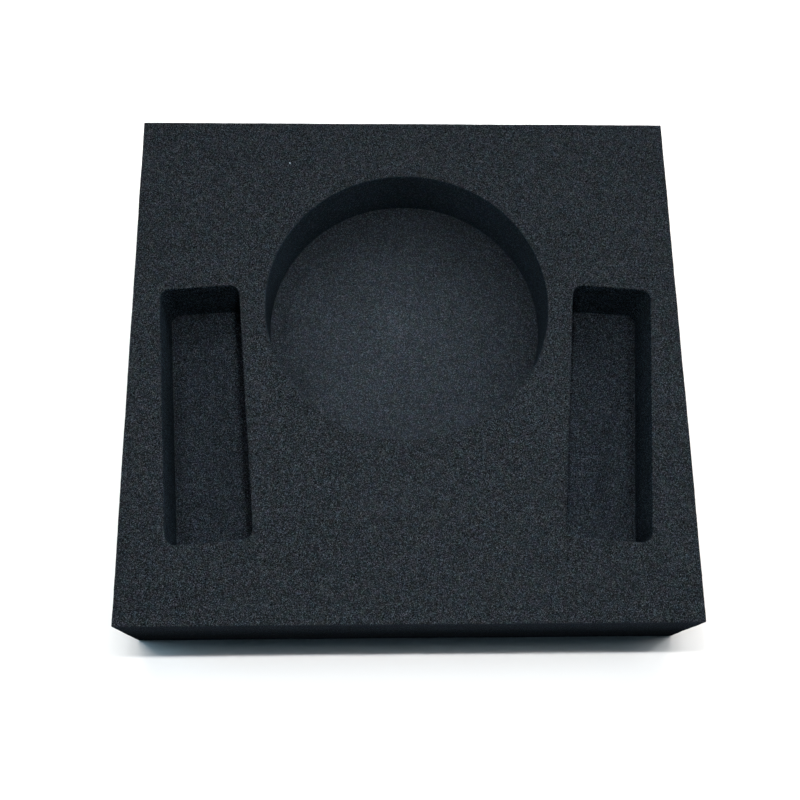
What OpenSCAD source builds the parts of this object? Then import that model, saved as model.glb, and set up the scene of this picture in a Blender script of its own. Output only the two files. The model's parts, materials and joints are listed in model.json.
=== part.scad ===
// Anti-static foam tray: one block of black conductive foam, routed from above
// with a round pocket and two leaning side pockets, all open at the top.
// Origin: middle of the underside. +X right, +Y towards the back, +Z up.

/* [Block] */
// Width of the block, left to right
tray_w = 215; // [200:1:320]
// Depth of the block, front to back
tray_d = 205.5; // [180:0.5:320]
// Thickness of the foam plank that the block is cut from
tray_h = 50; // [34:1:100]

/* [Round pocket] */
// Diameter of the round pocket
round_d = 112; // [60:1:124]
// Depth of the round pocket below the top face
round_depth = 28; // [6:1:44]
// Foam left between the round pocket and the back face
round_back_wall = 24.5; // [8:0.5:60]

/* [Side pockets] */
// Length of each side pocket, along its own middle line
side_len = 102; // [40:1:130]
// Width of each side pocket at its back end
side_w_back = 31; // [14:0.5:36]
// Width of each side pocket at its front end
side_w_front = 32.5; // [14:0.5:40]
// Angle that each side pocket leans outwards at its back end, in degrees
side_lean = 4.5; // [0:0.5:7]
// Depth of each side pocket below the top face
side_depth = 28; // [6:1:44]
// Radius of the four upright corners that the router leaves
side_corner_r = 4; // [1.5:0.5:6]
// Foam left between a side pocket's back corner and the side of the block
side_edge_wall = 10; // [4:0.5:16]
// Foam left between the middle of a side pocket's front end and the front face
side_front_wall = 30; // [10:0.5:60]

/* [Hidden] */
$fn = 96;
foam_colour = [0.13, 0.14, 0.15];
// Extra height of a cut above the top face, so that it opens cleanly
overcut = 1;
// How far a corner's arc stands outside its straight walls, so that they cross
// cleanly and don't just touch
arc_proud = 0.002;
// Middle of the round pocket, measured from the middle of the block
round_y = tray_d / 2 - round_back_wall - round_d / 2;
// Middle of the right-hand side pocket: its outer back corner stands side_edge_wall
// inside the block's side, and its front end side_front_wall behind the front face
side_x = tray_w / 2 - side_edge_wall
    - side_w_back / 2 * cos(side_lean) - side_len / 2 * sin(side_lean);
side_y = -tray_d / 2 + side_front_wall + side_len / 2 * cos(side_lean);
// Slope of a side pocket's long walls to its own middle line
side_taper = atan((side_w_front - side_w_back) / 2 / side_len);

// The solid block before routing, standing on z = 0.
module block() {
    translate([-tray_w / 2, -tray_d / 2, 0])
        cube([tray_w, tray_d, tray_h]);
}

// Material removed for the round pocket.
module round_pocket() {
    translate([0, round_y, tray_h - round_depth])
        cylinder(d = round_d, h = round_depth + overcut);
}

// Distance from a sharp corner, along its end wall, to the middle of the arc that
// rounds it. past_square is how far the corner opens past a right angle, in degrees.
function corner_inset(past_square) = side_corner_r * tan(45 - past_square / 2);

// Outline of a side pocket round its own middle: an even taper from the back end
// to the front end, with one true arc at each corner.
module side_outline() {
    y_end = side_len / 2 - side_corner_r;
    x_back = side_w_back / 2 - corner_inset(side_taper);
    x_front = side_w_front / 2 - corner_inset(-side_taper);
    // The straight walls run arc_proud inside the arcs, from foot to foot
    reach = side_corner_r - arc_proud;
    foot = reach * [cos(side_taper), sin(side_taper)];
    polygon([
        [x_back, y_end + reach], [x_back + foot.x, y_end + foot.y],
        [x_front + foot.x, -y_end + foot.y], [x_front, -y_end - reach],
        [-x_front, -y_end - reach], [-x_front - foot.x, -y_end + foot.y],
        [-x_back - foot.x, y_end + foot.y], [-x_back, y_end + reach]
    ]);
    for (side = [-1, 1]) {
        translate([side * x_back, y_end]) circle(side_corner_r);
        translate([side * x_front, -y_end]) circle(side_corner_r);
    }
}

// Material removed for the right-hand side pocket.
module side_pocket() {
    translate([side_x, side_y, tray_h - side_depth])
        rotate(-side_lean)
            linear_extrude(side_depth + overcut)
                side_outline();
}

module foam_tray() {
    color(foam_colour)
        difference() {
            block();
            round_pocket();
            side_pocket();
            mirror([1, 0, 0]) side_pocket();
        }
}

foam_tray();
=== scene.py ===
"""Looks, light and camera for the anti-static foam tray.

The block is one closed skin of conductive foam, made here with the same named
sizes as the part's source, and it stands for the CAD node foam_tray. Every
length is in metres, in the CAD's frame: origin at the middle of the underside,
+X right, +Y towards the back, +Z up.
"""
import json
import math

import bmesh
import bpy
import numpy as np
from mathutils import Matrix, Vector
from mathutils.geometry import delaunay_2d_cdt


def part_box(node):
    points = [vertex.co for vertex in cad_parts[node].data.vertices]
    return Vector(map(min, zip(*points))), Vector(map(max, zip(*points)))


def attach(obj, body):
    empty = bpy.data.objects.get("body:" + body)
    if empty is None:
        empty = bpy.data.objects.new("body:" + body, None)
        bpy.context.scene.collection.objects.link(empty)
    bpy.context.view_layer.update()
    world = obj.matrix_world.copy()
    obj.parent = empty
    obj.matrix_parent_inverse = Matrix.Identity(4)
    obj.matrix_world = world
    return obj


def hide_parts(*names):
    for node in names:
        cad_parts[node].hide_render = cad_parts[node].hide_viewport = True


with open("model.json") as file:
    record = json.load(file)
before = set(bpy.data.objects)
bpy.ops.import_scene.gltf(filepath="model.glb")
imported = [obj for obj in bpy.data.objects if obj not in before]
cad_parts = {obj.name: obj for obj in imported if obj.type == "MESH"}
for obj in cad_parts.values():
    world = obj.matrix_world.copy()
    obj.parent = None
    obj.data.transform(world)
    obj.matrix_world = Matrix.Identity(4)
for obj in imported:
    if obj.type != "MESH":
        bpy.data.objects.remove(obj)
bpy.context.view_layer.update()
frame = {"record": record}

MM = 0.001
SEED = 7                    # of the random points; the relief takes the next one

# ---------------------------------------------------------------- sizes

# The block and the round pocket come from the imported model
BOX_LOW, BOX_HIGH = (Vector(corner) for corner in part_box("foam_tray"))
TRAY_W, TRAY_D, TRAY_H = BOX_HIGH - BOX_LOW
ROUND = next(m for m in frame["record"]["mounts"] if m["name"] == "round_pocket")
ROUND_Y = ROUND["pos_m"][1]
ROUND_R = ROUND["dims"]["r_mm"] * MM
ROUND_DEPTH = ROUND["dims"]["length_mm"] * MM

# The side pockets repeat the named sizes of the part's source
SIDE_LEN = 102 * MM
SIDE_W_BACK = 31 * MM
SIDE_W_FRONT = 32.5 * MM
SIDE_LEAN = math.radians(4.5)
SIDE_DEPTH = 28 * MM
SIDE_CORNER_R = 4 * MM
SIDE_EDGE_WALL = 10 * MM
SIDE_FRONT_WALL = 30 * MM
SIDE_X = (TRAY_W / 2 - SIDE_EDGE_WALL
          - SIDE_W_BACK / 2 * math.cos(SIDE_LEAN) - SIDE_LEN / 2 * math.sin(SIDE_LEAN))
SIDE_Y = -TRAY_D / 2 + SIDE_FRONT_WALL + SIDE_LEN / 2 * math.cos(SIDE_LEAN)

# How finely the skin is made
EDGE_STEP = 0.75 * MM       # along every rim
FACE_STEP = 1.15 * MM       # on the top face and the pocket floors
WALL_STEP = 1.5 * MM        # down the pocket walls
UNDER_STEP = 7 * MM         # on the underside
CORNER_STEPS = 4            # least number of steps round a corner's arc
# Rows down the outer faces, by their share of the height: fine at the top and foot
OUTER_ROWS = [0.8, 1.1, 1.5, 2, 3, 4, 5, 5, 5, 5, 5, 4, 3, 2, 1.5, 1.1]
ROW_GAP = 0.87              # between rows of scattered points, as a share of the step
ROW_JITTER = 0.22           # how far they stray, as a share of the step
ROW_CLEAR = 0.55            # how far they keep off the outlines, likewise
SMOOTH_ANGLE = math.radians(50)     # faces that meet at less than this shade smoothly
WITHIN = 1                  # delaunay_2d_cdt's way to fill what lies within the edges
MERGE = 1e-9                # points closer than this are one
BATCH = 64                  # points of an outline that are compared at a time
RIM_ROUND = 0.3 * MM        # softness of a cut foam edge
BLOCK_CORNER_R = 0.5 * MM   # softness of the block's upright corners
# How far the sides stand past the nominal block, to meet the photo's outline. It is a
# pixel at most, no more than the camera's own misfit, so it may not be in the foam.
SWELL_LEFT, SWELL_RIGHT = 0.4 * MM, 0.25 * MM
SWELL_FRONT, SWELL_BACK = 0.4 * MM, 0.1 * MM

# Relief of the skin: how high and how wide its waves are, in mm, and each one's seed.
# All of it is guessed, the rings too; points lie about 1 mm apart, wider than a cell.
WAVES = [(0.09, 18, 11), (0.05, 5, 12), (0.035, 1.6, 13)]
TORN = 0.018                # spread of the random height of each point, in mm
LIFT_MOST = 0.2             # greatest height of all these together, in mm
RING_HEIGHT = 0.06          # of the router's rings on the round floor, in mm
RING_GAP = 6.5 * MM         # from one ring to the next
WAVE_TABLE = 64             # random values along each side of a wave's table

# Grain of the foam's shade. Each strength but the drift's is a share of the grain.
# All of it was set until the render's grain came near the photo's, whose own noise is
# in it too, so these sizes aren't measured from the foam.
STRUT = 0.19 * MM           # size of the finest grain: cut struts and pores
STRUT_RARITY = 8.0          # the higher, the fewer and brighter the struts
CELL = 0.72 * MM            # size of the next grain: open cells
CELL_REACH = 0.53           # usual distance from a cell's middle, in cell sizes
RIM_STRENGTH = 1.1          # of the cells' lighter rims
FLECK_RARITY, FLECK_STRENGTH = 50.0, 0.04
PIT_RARITY, PIT_STRENGTH = 30.0, -0.02
DRIFT_SIZE, DRIFT_STRENGTH = 14 * MM, 0.2
SHADE_LEAST = 0.05          # darkest grain, as a share of the foam's shade
HOLLOW_DEPTH = 0.04 * MM    # of the bump between the struts
FOAM_ROUGHNESS, FOAM_GLOSS = 0.7, 0.02

# Hue of the foam: it wanders slowly between two sides and changes in small spots
HUE_SIZE = 7 * MM           # size of the slow changes
HUE_LOW, HUE_HIGH = 0.35, 0.65      # where the noise reaches each side
HUE_GREENER = Vector((1.007, 1.012, 0.978))
HUE_BLUER = Vector((0.993, 0.988, 1.022))
SPOT = 2.2 * MM             # size of the spots
SPOT_HUE = Vector((0.75, 0.35, 0.45))   # how much red, green and blue change there

# Hues of the foam, a cool black. It is one foam: the hues differ because each was set until its
# zone met the photo's, so the differences are partly the zones' own hue and partly the painted
# colour of the light.
FACE_TINT = (0.815, 1.0, 1.20)
ROUND_FLOOR_TINT = (0.80, 1.0, 1.23)
SIDE_FLOOR_TINT = (0.785, 1.0, 1.265)
OUTER_TINT = (0.75, 1.0, 1.29)
WALL_TINT = (0.655, 1.0, 1.34)

# Zones of the skin, which are also the material slots
TOP, OUTER, SIDE_WALL, ROUND_WALL, ROUND_FLOOR, SIDE_FLOOR, UNDER = range(7)


# ---------------------------------------------------------------- outlines

def rounded_outline(corners, radius, step):
    """Anticlockwise outline of a convex shape with one arc at each corner."""
    arcs = []
    for i, here in enumerate(corners):
        back = (corners[i - 1] - here).normalized()
        ahead = (corners[(i + 1) % len(corners)] - here).normalized()
        half = back.angle(ahead) / 2
        centre = here + (back + ahead).normalized() * (radius / math.sin(half))
        start = here + back * (radius / math.tan(half)) - centre
        turn = math.pi - 2 * half
        count = max(CORNER_STEPS, math.ceil(radius * turn / step))
        arc = []
        for k in range(count + 1):
            a = turn * k / count
            arc.append(centre + Vector((start.x * math.cos(a) - start.y * math.sin(a),
                                        start.x * math.sin(a) + start.y * math.cos(a))))
        arcs.append(arc)
    points = []
    for i, arc in enumerate(arcs):
        points += arc
        a, b = arc[-1], arcs[(i + 1) % len(arcs)][0]
        count = max(1, round((b - a).length / step))
        points += [a.lerp(b, k / count) for k in range(1, count)]
    return np.array([p[:] for p in points])


def block_outline():
    left, right = -TRAY_W / 2 - SWELL_LEFT, TRAY_W / 2 + SWELL_RIGHT
    front, back = -TRAY_D / 2 - SWELL_FRONT, TRAY_D / 2 + SWELL_BACK
    corners = [Vector((left, front)), Vector((right, front)),
               Vector((right, back)), Vector((left, back))]
    return rounded_outline(corners, BLOCK_CORNER_R, EDGE_STEP)


def round_outline():
    count = round(2 * math.pi * ROUND_R / EDGE_STEP)
    a = np.arange(count) * 2 * math.pi / count
    return np.stack([ROUND_R * np.cos(a), ROUND_Y + ROUND_R * np.sin(a)], 1)


def side_outline(side):
    """Outline of a side pocket: side is 1 on the right and -1 on the left."""
    back, front, half_len = SIDE_W_BACK / 2, SIDE_W_FRONT / 2, SIDE_LEN / 2
    corners = [Vector((-front, -half_len)), Vector((front, -half_len)),
               Vector((back, half_len)), Vector((-back, half_len))]
    points = rounded_outline(corners, SIDE_CORNER_R, EDGE_STEP)
    c, s = math.cos(-SIDE_LEAN), math.sin(-SIDE_LEAN)
    x = SIDE_X + points[:, 0] * c - points[:, 1] * s
    y = SIDE_Y + points[:, 0] * s + points[:, 1] * c
    if side > 0:
        return np.stack([x, y], 1)
    return np.stack([-x, y], 1)[::-1]


def outward(outline):
    """Unit vectors that point out of an anticlockwise outline, one for each point."""
    along = np.roll(outline, -1, 0) - np.roll(outline, 1, 0)
    along /= np.linalg.norm(along, axis=1)[:, None]
    return np.stack([along[:, 1], -along[:, 0]], 1)


def inside(points, outline):
    """Which points lie inside a closed outline."""
    a, b = outline, np.roll(outline, -1, 0)
    result = np.zeros(len(points), bool)
    for (ax, ay), (bx, by) in zip(a, b):
        if ay == by:
            continue
        crosses = (ay > points[:, 1]) != (by > points[:, 1])
        x = ax + (points[:, 1] - ay) * (bx - ax) / (by - ay)
        result ^= crosses & (points[:, 0] < x)
    return result


def distance(points, outline):
    """Distance from each point to the nearest point of an outline."""
    best = np.full(len(points), np.inf)
    # A batch of the outline at a time, which saves memory
    for start in range(0, len(outline), BATCH):
        part = outline[start:start + BATCH]
        gap = np.linalg.norm(points[:, None, :] - part[None, :, :], axis=2).min(1)
        best = np.minimum(best, gap)
    return best


def scattered(outline, holes, step, rng):
    """Points spread evenly but irregularly inside an outline and outside its holes."""
    low, high = outline.min(0), outline.max(0)
    rows = []
    for j, y in enumerate(np.arange(low[1] + step / 2, high[1], step * ROW_GAP)):
        # Every other row is set half a step aside
        x = np.arange(low[0] + step * (0.25 + 0.5 * (j % 2)), high[0], step)
        rows.append(np.stack([x, np.full(len(x), y)], 1))
    points = np.concatenate(rows)
    points += rng.uniform(-ROW_JITTER, ROW_JITTER, points.shape) * step
    clear = step * ROW_CLEAR
    keep = inside(points, outline) & (distance(points, outline) > clear)
    for hole in holes:
        keep &= ~(inside(points, hole) | (distance(points, hole) < clear))
    return points[keep]


# ---------------------------------------------------------------- skin

class Skin:
    """Collects the one closed skin: rings of points, bands between them and sheets."""

    def __init__(self):
        self.points, self.faces, self.zones = [], [], []

    def vertices(self, zone):
        """Every vertex that a face of a zone stands on."""
        chosen = {v for face, z in zip(self.faces, self.zones) if z == zone for v in face}
        return np.array(sorted(chosen))

    def ring(self, outline, z):
        first = len(self.points)
        self.points += [(x, y, z) for x, y in outline]
        return list(range(first, len(self.points)))

    def band(self, upper, lower, zone):
        count = len(upper)
        for i in range(count):
            j = (i + 1) % count
            self.faces.append((upper[i], lower[i], lower[j], upper[j]))
            self.zones.append(zone)

    def sheet(self, rings, inner, z, zone):
        """Triangles between the outer ring, the rings of the holes and inner points."""
        index = [i for ring in rings for i in ring] + self.ring(inner, z)
        flat = [Vector(self.points[i][:2]) for i in index]
        edges, first = [], 0
        for ring in rings:
            edges += [(first + i, first + (i + 1) % len(ring)) for i in range(len(ring))]
            first += len(ring)
        made, _, triangles, origin, _, _ = delaunay_2d_cdt(flat, edges, [], WITHIN, MERGE)
        middle = np.array([sum((made[i] for i in t), Vector((0, 0))) / 3 for t in triangles])
        keep = np.ones(len(triangles), bool)
        for ring in rings[1:]:
            keep &= ~inside(middle, np.array([self.points[i][:2] for i in ring]))
        for t in np.flatnonzero(keep):
            self.faces.append(tuple(index[origin[i][0]] for i in triangles[t]))
            self.zones.append(zone)


def rim_rings(skin, outline, into, zone, top_z):
    """Rings over a softly rounded top edge. into is +1 where the foam lies outside
    the outline, as round a pocket, and -1 where it lies inside, as round the block.
    Returns the ring on the top face and the ring where the straight wall begins."""
    out = outward(outline) * into
    sag = 1 - math.sqrt(0.5)
    on_top = skin.ring(outline + out * RIM_ROUND, top_z)
    middle = skin.ring(outline + out * RIM_ROUND * sag, top_z - RIM_ROUND * sag)
    on_wall = skin.ring(outline, top_z - RIM_ROUND)
    skin.band(on_top, middle, TOP)
    skin.band(middle, on_wall, zone)
    return on_top, on_wall


def pocket(skin, outline, depth, wall_zone, floor_zone, rng):
    """A pocket's rim, wall and floor. Returns its ring on the top face."""
    on_top, upper = rim_rings(skin, outline, 1, wall_zone, TRAY_H)
    floor_z = TRAY_H - depth
    rows = round((depth - RIM_ROUND) / WALL_STEP)
    for k in range(1, rows + 1):
        z = TRAY_H - RIM_ROUND - (depth - RIM_ROUND) * k / rows
        lower = skin.ring(outline, z)
        skin.band(upper, lower, wall_zone)
        upper = lower
    skin.sheet([upper], scattered(outline, [], FACE_STEP, rng), floor_z, floor_zone)
    return on_top


def block(skin, rng):
    """The whole skin: outer faces, top face, three pockets and the underside."""
    outline = block_outline()
    pockets = [(round_outline(), ROUND_DEPTH, ROUND_WALL, ROUND_FLOOR),
               (side_outline(1), SIDE_DEPTH, SIDE_WALL, SIDE_FLOOR),
               (side_outline(-1), SIDE_DEPTH, SIDE_WALL, SIDE_FLOOR)]
    top_ring, upper = rim_rings(skin, outline, -1, OUTER, TRAY_H)
    share = np.cumsum(OUTER_ROWS)
    for level in share / share[-1]:
        lower = skin.ring(outline, (TRAY_H - RIM_ROUND) * (1 - level))
        skin.band(upper, lower, OUTER)
        upper = lower
    holes = [pocket(skin, *row, rng) for row in pockets]
    inner = scattered(outline, [row[0] for row in pockets], FACE_STEP, rng)
    skin.sheet([top_ring] + holes, inner, TRAY_H, TOP)
    skin.sheet([upper], scattered(outline, [], UNDER_STEP, rng), 0.0, UNDER)


# ---------------------------------------------------------------- relief

def soft_noise(points, cell, seed):
    """Smooth value noise between -1 and 1 with features about one cell wide."""
    side = WAVE_TABLE
    table = np.random.default_rng(seed).uniform(-1, 1, (side, side, side))
    place = points / cell
    base = np.floor(place).astype(int)
    t = place - base
    t = t * t * (3 - 2 * t)
    total = np.zeros(len(points))
    for dx in (0, 1):
        for dy in (0, 1):
            for dz in (0, 1):
                weight = (np.abs(1 - dx - t[:, 0]) * np.abs(1 - dy - t[:, 1])
                          * np.abs(1 - dz - t[:, 2]))
                corner = (base + (dx, dy, dz)) % side
                total += weight * table[corner[:, 0], corner[:, 1], corner[:, 2]]
    return total


def vectors(mesh, name):
    """One vector of each vertex of a mesh, as rows."""
    values = np.empty(len(mesh.vertices) * 3)
    mesh.vertices.foreach_get(name, values)
    return values.reshape(-1, 3)


def roughen(mesh, on_under, on_round_floor):
    """Moves the skin by a few hundredths of a millimetre, for cut foam's unevenness,
    with slow waves on top of that, and lays shallow rings, as a router may leave them,
    on the round floor.
    on_under and on_round_floor are the vertices of those zones."""
    place, normal = vectors(mesh, "co"), vectors(mesh, "normal")
    lift = sum(high * soft_noise(place, wide * MM, seed) for high, wide, seed in WAVES)
    lift += np.random.default_rng(SEED + 1).normal(0, TORN, len(place))
    lift = np.clip(lift, -LIFT_MOST, LIFT_MOST)
    # The underside and foot stand flat on the table
    lift[on_under] = 0
    reach = np.hypot(place[:, 0], place[:, 1] - ROUND_Y)[on_round_floor]
    lift[on_round_floor] += RING_HEIGHT * np.cos(reach / RING_GAP * 2 * math.pi)
    place += normal * (lift * MM)[:, None]
    mesh.vertices.foreach_set("co", place.ravel())
    mesh.update()


# ---------------------------------------------------------------- materials

def shader(material):
    """A material's node tree and its main shader."""
    material.use_nodes = True
    tree = material.node_tree
    bsdf = next(n for n in tree.nodes if n.type == "BSDF_PRINCIPLED")
    return tree, bsdf


def fill(tree, socket, value):
    """Gives a socket a plain value, or links another node's output to it."""
    if isinstance(value, bpy.types.NodeSocket):
        tree.links.new(value, socket)
    else:
        socket.default_value = value


def maths(tree, operation, a, b):
    made = tree.nodes.new("ShaderNodeMath")
    made.operation = operation
    fill(tree, made.inputs[0], a)
    fill(tree, made.inputs[1], b)
    return made.outputs[0]


def vector_maths(tree, operation, *values):
    """Vector maths. SCALE takes a vector and a number, and LENGTH gives a number."""
    made = tree.nodes.new("ShaderNodeVectorMath")
    made.operation = operation
    if operation == "SCALE":
        fill(tree, made.inputs[0], values[0])
        fill(tree, made.inputs["Scale"], values[1])
    else:
        for socket, value in zip(made.inputs, values):
            fill(tree, socket, value)
    return made.outputs["Value" if operation == "LENGTH" else "Vector"]


def map_range(tree, value, limits, smooth=False):
    """Carries value over from a range to another: limits are named as on the node."""
    made = tree.nodes.new("ShaderNodeMapRange")
    if smooth:
        made.interpolation_type = "SMOOTHSTEP"
    for name, limit in limits.items():
        made.inputs[name].default_value = limit
    tree.links.new(value, made.inputs["Value"])
    return made.outputs["Result"]


def noise(tree, place, size, output="Fac"):
    """Soft noise with features about size across, between 0 and 1."""
    made = tree.nodes.new("ShaderNodeTexNoise")
    made.inputs["Scale"].default_value = 1 / size
    made.inputs["Detail"].default_value = 2.0
    tree.links.new(place, made.inputs["Vector"])
    return made.outputs[output]


def cells(tree, place, size):
    """Small irregular cells: their distances from the middle, and two random values
    that each cell has of its own."""
    made = tree.nodes.new("ShaderNodeTexVoronoi")
    made.inputs["Scale"].default_value = 1 / size
    tree.links.new(place, made.inputs["Vector"])
    parts = tree.nodes.new("ShaderNodeSeparateColor")
    tree.links.new(made.outputs["Color"], parts.inputs[0])
    return made.outputs["Distance"], parts.outputs[0], parts.outputs[1]


def rare(tree, value, power):
    """Keeps near 0 what isn't close to 1, and averages 1 over an even spread."""
    return maths(tree, "MULTIPLY", maths(tree, "POWER", value, power), power + 1.0)


# Marks and painted light: soft patches that are a little lighter or darker. Each has its middle
# and half sizes in mm, its turn in degrees and the change of shade at its middle. The lint and
# the narrow streaks and bands show in the photo. Those noted below as painted light or painted
# shade, and all those on the walls, only bring each place to the photo's brightness: they are
# painted in place of light and shade that the lamps don't give.

def by_round(angle, reach, half_out, half_along, share, z=22, half_z=20):
    """A mark, or a patch of painted light or shade, placed by its angle round the round pocket
    and distance from its axis.
    """
    a = math.radians(angle)
    middle = (reach * math.cos(a), ROUND_Y / MM + reach * math.sin(a), z)
    return middle, (half_out, half_along, half_z), angle, share


def by_side(side, across, along, half_across, half_along, share, z=22, half_z=20):
    """A mark, or a patch of painted light or shade, placed along a side pocket's own middle line:
    across grows outwards, along grows towards the back, and side is 1 on the right and -1 on the
    left."""
    c, s = math.cos(SIDE_LEAN), math.sin(SIDE_LEAN)
    middle = (side * (SIDE_X / MM + across * c + along * s),
              SIDE_Y / MM - across * s + along * c, z)
    turn = -side * math.degrees(SIDE_LEAN)
    return middle, (half_across, half_along, half_z), turn, share


EVERYWHERE = 1e5            # a half size that reaches over the whole block
TOP_MARKS = [
    ((-47.3, 84.2, 50), (0.55, 0.40, 3), -35, 45.0),    # a white speck of lint
    ((-26.5, -96.0, 50), (0.50, 0.40, 3), 0, 5.0),      # and a pale one
]
ROUND_FLOOR_MARKS_AND_PAINTED_LIGHT = [
    by_round(235, 8, 66, 66, 0.35),         # painted light: the middle lies lighter than the edge
    by_round(237, 37, 24, 22, 0.10),        # painted light: lightest towards the front left
    # a painted highlight near the middle
    by_round(152, 6.5, 11, 9, 0.26),
    by_round(180, 50, 4, 15, -0.28),        # painted shade: darker tracks near the foot of the left wall
    by_round(152, 50, 4, 14, -0.15),
    by_round(208, 49.5, 4.5, 14, -0.24),
    by_round(350, 52, 5, 22, -0.06),        # and painted shade near the right wall
    by_round(50, 52, 5, 20, 0.12),          # painted light: lighter along the back and the front
    by_round(85, 46, 7, 22, 0.09),
    by_round(305, 46, 6, 16, 0.09),
    ((-38, 27.5, 22), (16, 1.3, 20), -8, 0.16),     # two streaks from the left wall
    ((-31, 21, 22), (20, 1.1, 20), -1.5, 0.13),
]
SIDE_FLOOR_MARKS_AND_PAINTED_LIGHT = [
    by_side(1, 14.5, 0, 3.4, 80, -0.26),    # right pocket: painted shade along the foot of the outer wall, a lighter line beside it
    by_side(1, 11.3, -5, 1.6, 60, 0.09),
    by_side(1, 3, -20, 4.5, 32, -0.17),     # dark lengthwise track
    # painted shade towards the back, on the inner side
    by_side(1, -5, 40, 11, 22, -0.16),
    by_side(1, -8, -18, 7, 34, 0.07),
    by_side(1, -5, -12.3, 7.5, 1.9, 0.16),
    by_side(1, 3.4, 9.9, 1.2, 2.6, 0.25),
    by_side(-1, 16, -8, 9, 80, -0.34),      # left pocket: painted shade along the foot of its outer wall
    # painted light on the inner side, towards the back
    by_side(-1, -9, 28, 7, 36, 0.20),
    by_side(-1, -3, 35, 15, 6.5, 0.20),     # band across, near the back
    # painted shade at the foot of the back wall
    by_side(-1, 2, 53, 15, 7, -0.28),
]
SIDE_WALL_PAINTED_SHADE = [
    # Painted shade on the side pockets' outer walls: darker towards the foot, most on the left
    # one, and at the right one's front end
    by_side(-1, 16, -8, 12, 75, -0.55, 20, 30),
    by_side(1, 16, -5, 12, 80, -0.28, 26, 12),
    by_side(1, 16, -47, 8, 10, -0.40, 36, 30),
]
ROUND_WALL_PAINTED_SHADE = [
    # Painted shade on the round wall: darker towards the foot all round, and on its left and back
    # sides
    ((0, 0, 20), (EVERYWHERE, EVERYWHERE, 17), 0, -0.20),
    by_round(180, 56, 14, 26, -0.40, 30, 28),
    by_round(90, 56, 14, 30, -0.15, 36, 30),
]


def patch(tree, place, middle, half, turn, share):
    """The change of shade that one mark, or one patch of painted light or shade, gives: share at
    its middle, fading to 0.
    """
    local = tree.nodes.new("ShaderNodeMapping")
    local.vector_type = "TEXTURE"
    local.inputs["Location"].default_value = Vector(middle) * MM
    local.inputs["Rotation"].default_value = (0, 0, math.radians(turn))
    local.inputs["Scale"].default_value = Vector(half) * MM
    tree.links.new(place, local.inputs["Vector"])
    reach = vector_maths(tree, "LENGTH", local.outputs["Vector"])
    return map_range(tree, reach, {"To Min": share, "To Max": 0.0}, smooth=True)


def foam_shade(tree, place, own, grain, marks_and_painted_light):
    """Shade of the foam, about 1. own is the random value of each strut and pore: most are a
    little dark and a few catch the light. Every open cell is darker in its middle and lighter at
    its rim. Bright flecks and dark pits stand out here and there, the shade drifts slowly over
    the face, and the marks and the patches of painted light and shade lie over all that."""
    struts = maths(tree, "SUBTRACT", rare(tree, own, STRUT_RARITY), 1.0)
    level = maths(tree, "MULTIPLY", struts, grain)
    rim, fleck, pit = cells(tree, place, CELL)
    drift = noise(tree, place, DRIFT_SIZE)
    parts = [
        (maths(tree, "SUBTRACT", rim, CELL_REACH), RIM_STRENGTH * grain),
        (rare(tree, fleck, FLECK_RARITY), FLECK_STRENGTH * grain),
        (rare(tree, pit, PIT_RARITY), PIT_STRENGTH * grain),
        (maths(tree, "SUBTRACT", drift, 0.5), DRIFT_STRENGTH),
    ]
    for part, strength in parts:
        level = maths(tree, "ADD", level, maths(tree, "MULTIPLY", part, strength))
    level = maths(tree, "MAXIMUM", maths(tree, "ADD", level, 1.0), SHADE_LEAST)
    whole = 1.0
    for mark_or_painted_patch in marks_and_painted_light:
        whole = maths(tree, "ADD", patch(tree, place, *mark_or_painted_patch), whole)
    return maths(tree, "MULTIPLY", level, whole)


def foam_hue(tree, place, tint):
    """Hue of the foam: it wanders slowly, and changes a little in spots of a
    millimetre or two."""
    hue = tree.nodes.new("ShaderNodeMix")
    hue.data_type = "RGBA"
    hue.inputs["A"].default_value = (*(HUE_GREENER * Vector(tint)), 1)
    hue.inputs["B"].default_value = (*(HUE_BLUER * Vector(tint)), 1)
    limits = {"From Min": HUE_LOW, "From Max": HUE_HIGH}
    tree.links.new(map_range(tree, noise(tree, place, HUE_SIZE), limits), hue.inputs["Factor"])
    spots = noise(tree, place, SPOT, "Color")
    uneven = vector_maths(tree, "MULTIPLY_ADD", spots, SPOT_HUE, Vector((1, 1, 1)) - SPOT_HUE / 2)
    return vector_maths(tree, "MULTIPLY", hue.outputs["Result"], uneven)


def foam(name, shade, tint, grain, marks_and_painted_light=(), gloss=FOAM_GLOSS):
    """A finish of cut foam: its mean shade, which holds painted light and shade as well as the
    foam's own, its tint and how strong its grain is.
    """
    material = bpy.data.materials.new(name)
    tree, bsdf = shader(material)
    place = tree.nodes.new("ShaderNodeTexCoord").outputs["Object"]
    hollows, own, _ = cells(tree, place, STRUT)
    level = maths(tree, "MULTIPLY", foam_shade(tree, place, own, grain, marks_and_painted_light), shade)
    colour = vector_maths(tree, "SCALE", foam_hue(tree, place, tint), level)
    tree.links.new(colour, bsdf.inputs["Base Color"])
    hollow = tree.nodes.new("ShaderNodeBump")
    hollow.inputs["Strength"].default_value = 1.0
    hollow.inputs["Distance"].default_value = HOLLOW_DEPTH
    tree.links.new(hollows, hollow.inputs["Height"])
    tree.links.new(hollow.outputs["Normal"], bsdf.inputs["Normal"])
    bsdf.inputs["Roughness"].default_value = FOAM_ROUGHNESS
    bsdf.inputs["Specular IOR Level"].default_value = gloss
    return material


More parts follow.
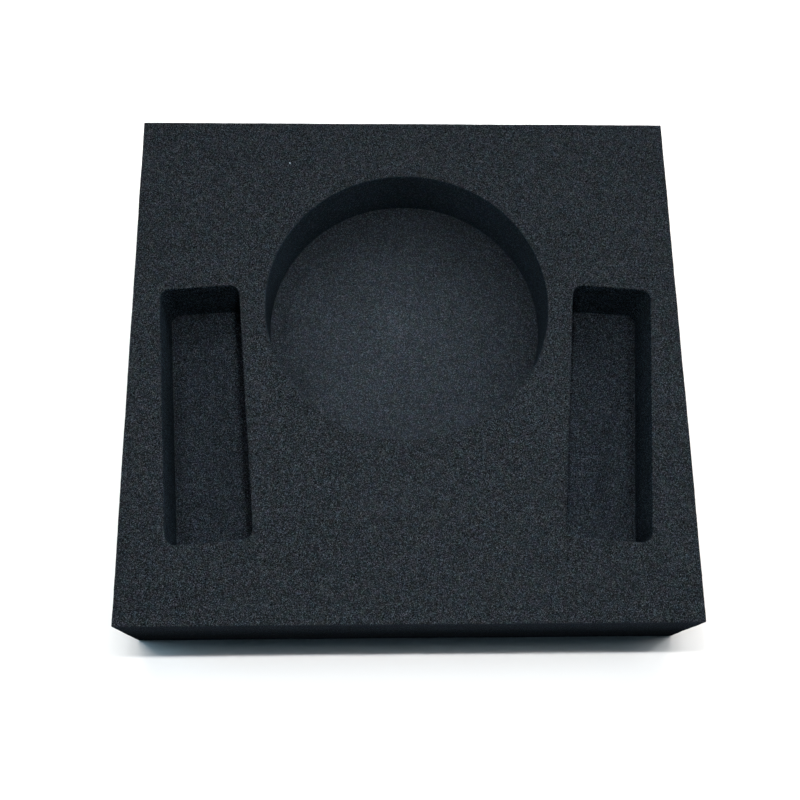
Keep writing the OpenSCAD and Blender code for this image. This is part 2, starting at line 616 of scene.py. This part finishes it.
# Name, mean shade, tint, strength of the grain, marks and painted light, and gloss of each zone's
# foam, in the order of the zones. It is one foam: the shades differ because each was set until
# its zone's mean met the photo's, so the differences are partly the zones' own shade and partly
# painted light and shade. The underside doesn't show, so it is a guess.
FINISHES_AND_PAINTED_LIGHT = [
    ("foam_top", 0.0197, FACE_TINT, 0.58, TOP_MARKS),
    ("foam_outer", 0.0182, OUTER_TINT, 0.30, (), 0.0),
    ("foam_side_wall", 0.0226, WALL_TINT, 0.85, SIDE_WALL_PAINTED_SHADE),
    ("foam_round_wall", 0.0284, WALL_TINT, 0.38, ROUND_WALL_PAINTED_SHADE),
    ("foam_round_floor", 0.0231, ROUND_FLOOR_TINT, 0.44, ROUND_FLOOR_MARKS_AND_PAINTED_LIGHT),
    ("foam_side_floor", 0.0219, SIDE_FLOOR_TINT, 0.56, SIDE_FLOOR_MARKS_AND_PAINTED_LIGHT),
    ("foam_under", 0.0197, FACE_TINT, 0.58),
]


# ---------------------------------------------------------------- the piece

def face_outwards(mesh):
    work = bmesh.new()
    work.from_mesh(mesh)
    bmesh.ops.recalc_face_normals(work, faces=work.faces)
    work.to_mesh(mesh)
    work.free()
    mesh.update()


def make_foam_block():
    skin = Skin()
    block(skin, np.random.default_rng(SEED))
    mesh = bpy.data.meshes.new("foam_block")
    mesh.from_pydata(skin.points, [], skin.faces)
    mesh.update()
    mesh.polygons.foreach_set("material_index", skin.zones)
    face_outwards(mesh)
    roughen(mesh, skin.vertices(UNDER), skin.vertices(ROUND_FLOOR))
    mesh.shade_smooth()
    mesh.set_sharp_from_angle(angle=SMOOTH_ANGLE)
    for finish_and_painted_light in FINISHES_AND_PAINTED_LIGHT:
        mesh.materials.append(foam(*finish_and_painted_light))
    piece = bpy.data.objects.new("foam_block", mesh)
    bpy.context.collection.objects.link(piece)
    return piece


# ---------------------------------------------------------------- studio

FLOOR_HALF = 0.5            # half the side of the square floor
FLOOR_SHADE, FLOOR_ROUGHNESS, FLOOR_GLOSS = 0.8, 0.6, 0.3


def make_floor():
    half = FLOOR_HALF
    mesh = bpy.data.meshes.new("floor")
    mesh.from_pydata([(-half, -half, 0), (half, -half, 0), (half, half, 0), (-half, half, 0)],
                     [], [(0, 1, 2, 3)])
    floor = bpy.data.objects.new("floor", mesh)
    bpy.context.collection.objects.link(floor)
    material = bpy.data.materials.new("floor_white")
    _, bsdf = shader(material)
    bsdf.inputs["Base Color"].default_value = (FLOOR_SHADE, FLOOR_SHADE, FLOOR_SHADE, 1)
    bsdf.inputs["Roughness"].default_value = FLOOR_ROUGHNESS
    bsdf.inputs["Specular IOR Level"].default_value = FLOOR_GLOSS
    mesh.materials.append(material)
    # The overlit table doesn't throw its light back up at the foam
    floor.visible_diffuse = False
    return floor


WHITE = (1.0, 1.0, 1.0)
WARM = (1.07, 1.0, 0.93)
COOL = (0.68, 1.04, 1.28)
# Name, degrees behind the vertical, degrees to the right of it, width, depth, watts,
# colour. The table and the foam are lit apart, each by lights that reach it alone, as no
# real studio does: each set was fitted to its own part of the photo. The table's come
# from behind and whiten it up to the narrow shadow along the front.
TABLE_LIGHTS = [
    ("table_bar", 5.6, 0, 1.00, 0.03, 19.5, WHITE),
    ("table_key", 5.6, 0, 0.05, 0.03, 2.6, WHITE),
    ("table_key_left", 5.6, -12, 0.10, 0.03, 3.7, WARM),
    ("table_back", 17, 0, 0.80, 0.25, 2.1, WARM),
    ("table_low_back", 55, 0, 1.60, 0.50, 22.0, WARM),
    ("table_right", 8, 25, 0.40, 0.12, 5.6, WHITE),
    ("table_left", 10, -40, 0.50, 0.40, 2.9, COOL),
    ("table_low_left", 10, -60, 0.60, 0.80, 3.1, COOL),
    ("table_low_right", 10, 60, 0.60, 0.80, 1.1, COOL),
]
FOAM_LIGHTS = [
    ("back_soft", 27, 0, 0.90, 0.30, 3.0, WHITE),
    ("mid_back", 40, 0, 1.20, 0.40, 3.8, WHITE),
    ("low_back", 55, 0, 1.60, 0.50, 5.2, WHITE),
    ("right_back", 40, 40, 0.60, 0.60, 7.7, WHITE),
    ("key_right", 6.6, 12, 0.10, 0.05, 3.6, WHITE),
    ("left_soft", 8, -25, 0.40, 0.20, 0.75, WHITE),
    ("left_low", 10, -60, 0.60, 0.80, 2.3, WHITE),
]
LIGHT_REACH = 1.6           # from the front half of the top face to each light

# Name, place, width, depth and the point it shines at, all in mm, and watts. The small
# lamp leaves the dark line along the inner wall of each side pocket. It is inferred
# and isn't seen: the photo's table has no shadow of such a lamp, so it lights the foam
# alone. Panels close to the left, right and back soften it.
NEAR_LIGHTS = [
    ("lamp", (-5, -66, 350), 14, 14, (-5, -66, 0), 0.58),
    ("panel_left", (-330, 0, 250), 200, 300, (0, 0, 30), 0.150),
    ("panel_right", (330, 0, 250), 200, 300, (0, 0, 30), 0.239),
    ("panel_back", (0, 120, 400), 400, 80, (0, 120, 0), 0.108),
    ("panel_side", (150, -66, 380), 80, 14, (150, -66, 0), 0.024),
]
# The strip in front of the front face
STRIP_W, STRIP_H = 300 * MM, 6 * MM
STRIP_GAP = 30 * MM         # between the strip and the front face
STRIP_POWER = 0.043


def area_light(name, size_x, size_y, power, colour, location, way):
    """A rectangular light that shines against way."""
    data = bpy.data.lights.new(name, "AREA")
    data.shape = "RECTANGLE"
    data.size, data.size_y = size_x, size_y
    data.energy = power
    data.color = colour
    light = bpy.data.objects.new(name, data)
    light.location = location
    light.rotation_euler = way.to_track_quat("Z", "Y").to_euler()
    light.visible_camera = False
    bpy.context.collection.objects.link(light)
    return light


def overhead(name, back, side, size_x, size_y, power, colour):
    """A soft light placed by how far it leans back and aside from straight above,
    seen from the front half of the top face, which it points at."""
    target = Vector((0, -TRAY_D / 4, TRAY_H))
    way = Vector((math.tan(math.radians(side)), math.tan(math.radians(back)), 1)).normalized()
    return area_light(name, size_x, size_y, power, colour, target + way * LIGHT_REACH, way)


def nearby(name, place, size_x, size_y, target, power):
    """A light close to the tray."""
    place, target = Vector(place) * MM, Vector(target) * MM
    return area_light(name, size_x * MM, size_y * MM, power, WHITE, place,
                      (place - target).normalized())


def front_strip():
    """A low strip close to the front face, which fades from its top to its foot."""
    place = Vector((0, BOX_LOW.y - STRIP_GAP, TRAY_H))
    return area_light("front_strip", STRIP_W, STRIP_H, STRIP_POWER, WHITE, place,
                      Vector((0, -1, 0)))


SKY_SEEN = 1.1              # how bright the white behind everything looks


def background(tree, strength):
    """A white background of the given strength."""
    made = tree.nodes.new("ShaderNodeBackground")
    made.inputs["Color"].default_value = (*WHITE, 1)
    made.inputs["Strength"].default_value = strength
    return made.outputs[0]


def make_world():
    """White where the camera sees past the floor, but it lights nothing."""
    world = bpy.data.worlds.new("studio")
    bpy.context.scene.world = world
    world.use_nodes = True
    tree = world.node_tree
    mix = tree.nodes.new("ShaderNodeMixShader")
    path = tree.nodes.new("ShaderNodeLightPath")
    output = next(n for n in tree.nodes if n.type == "OUTPUT_WORLD")
    tree.links.new(path.outputs["Is Camera Ray"], mix.inputs[0])
    tree.links.new(background(tree, 0.0), mix.inputs[1])
    tree.links.new(background(tree, SKY_SEEN), mix.inputs[2])
    tree.links.new(mix.outputs[0], output.inputs[0])


# The photo's view: high up and a little in front of the tray, almost straight down
CAMERA_PLACE = (-0.0161, -0.1477, 0.4612)
CAMERA_TILT = (17.52, -1.6, -0.63)      # degrees about X, Y and Z
SENSOR_MM, LENS_MM = 36, 50.48


def make_camera():
    data = bpy.data.cameras.new("camera")
    data.sensor_width = SENSOR_MM
    data.lens = LENS_MM
    data.clip_start = 0.01
    data.clip_end = 50
    camera = bpy.data.objects.new("camera", data)
    camera.location = CAMERA_PLACE
    camera.rotation_euler = [math.radians(a) for a in CAMERA_TILT]
    bpy.context.collection.objects.link(camera)
    bpy.context.scene.camera = camera


def light_only(piece, lights):
    """Lets lights shine on one object alone."""
    lit = bpy.data.collections.new(piece.name + "_lit")
    lit.objects.link(piece)
    for light in lights:
        light.light_linking.receiver_collection = lit


# ---------------------------------------------------------------- the scene

foam_block = make_foam_block()
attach(foam_block, "root")
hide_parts("foam_tray")
table = make_floor()
make_camera()
make_world()
light_only(table, [overhead(*row) for row in TABLE_LIGHTS])
light_only(foam_block, [overhead(*row) for row in FOAM_LIGHTS]
           + [nearby(*row) for row in NEAR_LIGHTS] + [front_strip()])

scene = bpy.context.scene
scene.view_settings.view_transform = "Standard"
scene.view_settings.look = "None"
scene.view_settings.exposure = 0
scene.view_settings.gamma = 1
